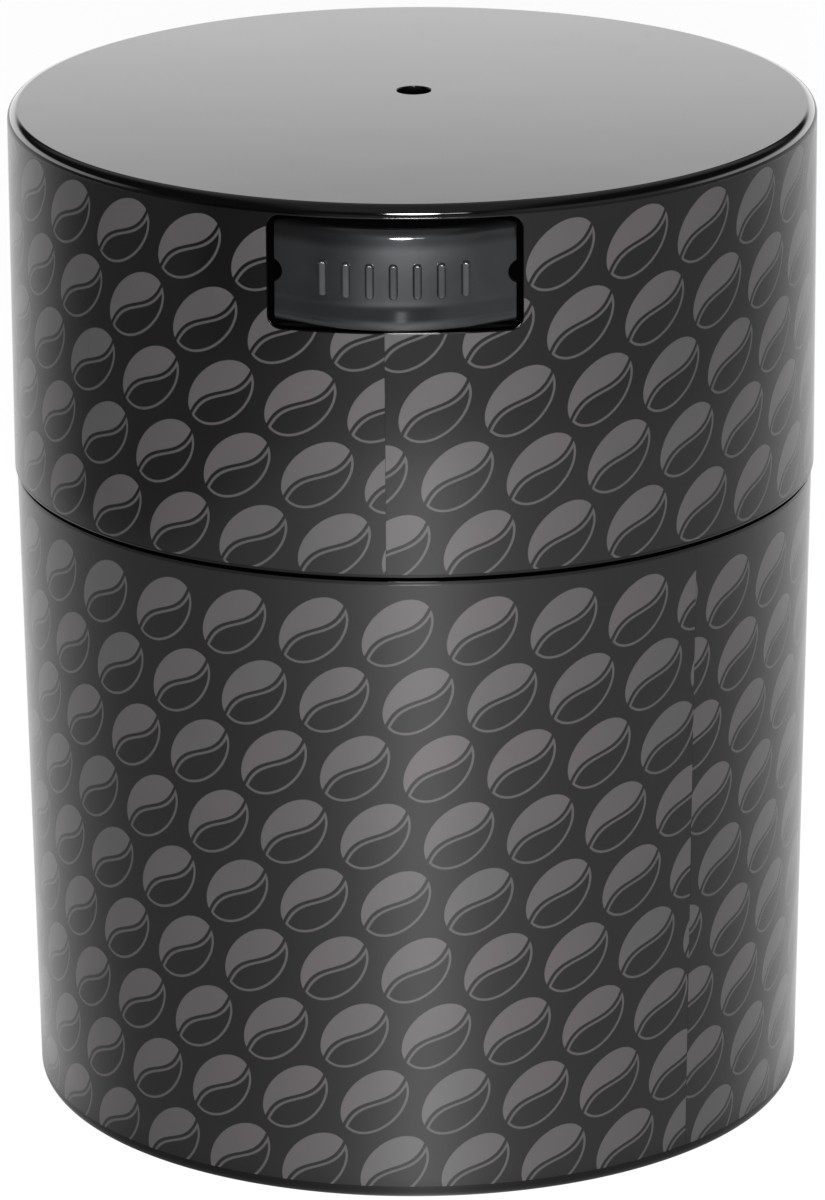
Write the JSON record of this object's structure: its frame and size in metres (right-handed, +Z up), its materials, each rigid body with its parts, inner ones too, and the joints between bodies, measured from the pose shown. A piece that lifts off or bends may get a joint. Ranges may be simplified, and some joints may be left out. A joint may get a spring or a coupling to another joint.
{
  "type": "coffee canister",
  "caption": "Round coffee canister: a tapered tub with a tall push-on cap, a vent hole in the top and a spring-back push button in a window that opens an air valve.",
  "frame": {"origin": "centre of the cup's flat base, on the surface that the canister stands on", "axes": "+Z up along the canister's axis; the push button faces -Y; +X to the right as seen from the button's side"},
  "size_m": [0.1206, 0.1237, 0.1527],
  "materials": {
    "black_shell": "moulded black plastic, high gloss",
    "printed_film": "gloss film printed with rows of coffee beans, grey on charcoal",
    "smoke_button": "smoky dark grey plastic, gloss",
    "inner_plastic": "moulded black plastic, satin",
    "gasket_rubber": "soft grey silicone",
    "spring_steel": "bright drawn wire"
  },
  "bodies": {
    "canister": {"cup": "black_shell", "body_wrap": "printed_film"},
    "lid": {"cap_shell": "black_shell", "cap_wrap": "printed_film", "inner_lid": "inner_plastic", "lid_gasket": "gasket_rubber", "button_springs": "spring_steel", "valve_spring": "spring_steel"},
    "button": {"push_button": "smoke_button"},
    "valve": {"valve_stem": "inner_plastic", "valve_seal": "gasket_rubber"}
  },
  "joints": [
    {"name": "lid_lift", "type": "slide", "parent": "canister", "child": "lid", "axis": [0, 0, 1], "range_m": [0, 0.08]},
    {"name": "button_press", "type": "slide", "parent": "lid", "child": "button", "axis": [0, 1, 0], "range_m": [0, 0.0028], "stiffness_N_per_m": 600, "springref_m": -0.004, "deforming": ["button_springs"]},
    {"name": "valve_lift", "type": "slide", "parent": "lid", "child": "valve", "axis": [0, 0, 1], "range_m": [0, 0.0014], "deforming": ["valve_spring"]}
  ],
  "couplings": [
    {"joint": "valve_lift", "follows": "button_press", "ratio": 0.5}
  ]
}
